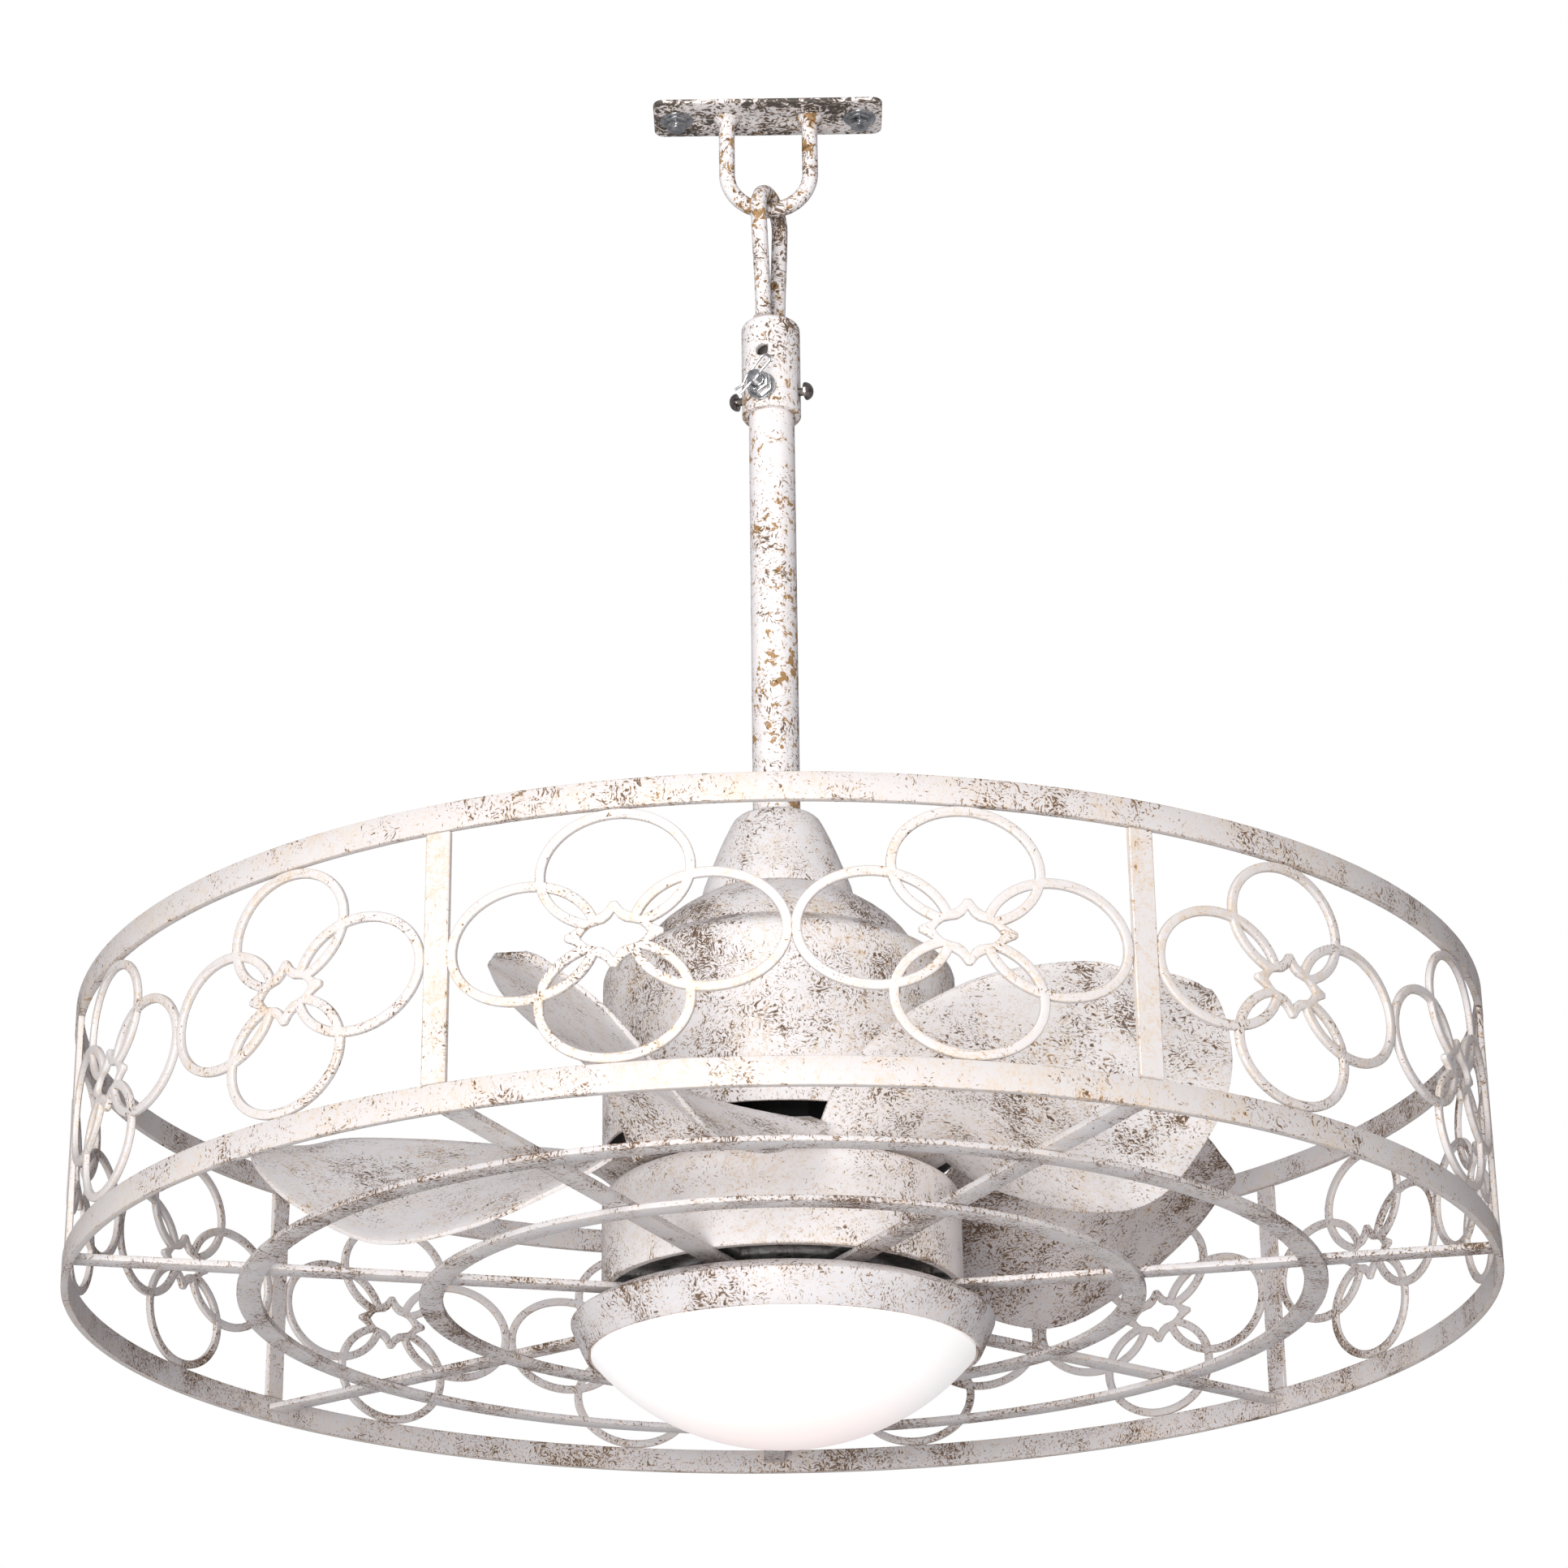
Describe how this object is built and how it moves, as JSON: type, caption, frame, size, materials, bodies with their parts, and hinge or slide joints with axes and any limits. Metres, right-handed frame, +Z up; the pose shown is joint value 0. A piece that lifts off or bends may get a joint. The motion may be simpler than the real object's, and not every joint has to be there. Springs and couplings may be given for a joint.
{
  "type": "chandelier ceiling fan",
  "caption": "Caged ceiling fan with twisted blades and a lit bowl under the motor, hung on a rod and eye from a loop on a ceiling plate, in worn white paint.",
  "frame": {"origin": "centre of the ceiling plate's top face, where it meets the ceiling", "axes": "+Z up into the ceiling, +X along the ceiling plate, +Y away from the picture's viewer"},
  "size_m": [0.7618, 0.7618, 0.8169],
  "materials": {
    "painted_metal": "antique white paint, rubbed through to brown at the edges",
    "zinc_fastener": "bright zinc",
    "dark_nickel": "dark nickel",
    "machined_steel": "turned",
    "stator_steel": "punched sheet",
    "copper_winding": "enamelled copper wire",
    "ferrite": "sintered, matt",
    "black_plastic": "moulded, matt",
    "white_board": "white solder mask",
    "opal_glass": "opal, lit from inside"
  },
  "bodies": {
    "ceiling_mount": {"ceiling_plate": "painted_metal", "ceiling_bolt_left": "zinc_fastener", "ceiling_bolt_right": "zinc_fastener", "hanger_loop": "painted_metal"},
    "fan_frame": {"eye_loop": "painted_metal", "hanger_collar": "painted_metal", "collar_bolt": "zinc_fastener", "collar_washer": "zinc_fastener", "collar_nut": "zinc_fastener", "hairpin_clip": "zinc_fastener", "set_screw_left": "dark_nickel", "set_screw_right": "dark_nickel", "downrod": "painted_metal", "cone_cover": "painted_metal", "motor_coupler": "machined_steel", "coupler_pin": "zinc_fastener", "motor_housing": "painted_metal", "motor_shaft": "machined_steel", "stator_core": "stator_steel", "stator_windings": "copper_winding", "lower_housing": "painted_metal", "adapter_plate": "zinc_fastener", "shaft_nut": "zinc_fastener", "driver_box": "black_plastic", "cage_hub": "painted_metal", "hub_screw_1": "zinc_fastener", "hub_screw_2": "zinc_fastener", "spoke_1": "painted_metal", "spoke_2": "painted_metal", "spoke_3": "painted_metal", "spoke_4": "painted_metal", "spoke_5": "painted_metal", "spoke_6": "painted_metal", "spoke_7": "painted_metal", "inner_ring_large": "painted_metal", "inner_ring_small": "painted_metal", "bottom_hoop": "painted_metal", "top_hoop": "painted_metal", "cage_panel_1": "painted_metal", "cage_panel_2": "painted_metal", "cage_panel_3": "painted_metal", "cage_panel_4": "painted_metal", "cage_panel_5": "painted_metal", "cage_panel_6": "painted_metal", "cage_panel_7": "painted_metal", "light_pan": "painted_metal", "led_board": "white_board"},
    "rotor": {"rotor_bell": "machined_steel", "magnet_ring": "ferrite", "upper_bearing": "machined_steel", "lower_bearing": "machined_steel", "blade_hub": "black_plastic", "blade_clamp_ring": "machined_steel", "blade_1": "painted_metal", "blade_2": "painted_metal", "blade_3": "painted_metal", "blade_4": "painted_metal", "blade_5": "painted_metal"},
    "light_bowl": {"glass_bowl": "opal_glass"}
  },
  "joints": [
    {"name": "hanger_swing", "type": "hinge", "parent": "ceiling_mount", "child": "fan_frame", "pos_m": [0, 0, -0.0667], "axis": [1, 0, 0], "range_deg": [-25, 25]},
    {"name": "rotor_spin", "type": "hinge", "parent": "fan_frame", "child": "rotor", "pos_m": [0, 0, -0.672], "axis": [0, 0, 1], "continuous": true},
    {"name": "bowl_twist", "type": "hinge", "parent": "fan_frame", "child": "light_bowl", "pos_m": [0, 0, -0.7702], "axis": [0, 0, 1], "range_deg": [0, 30]}
  ]
}
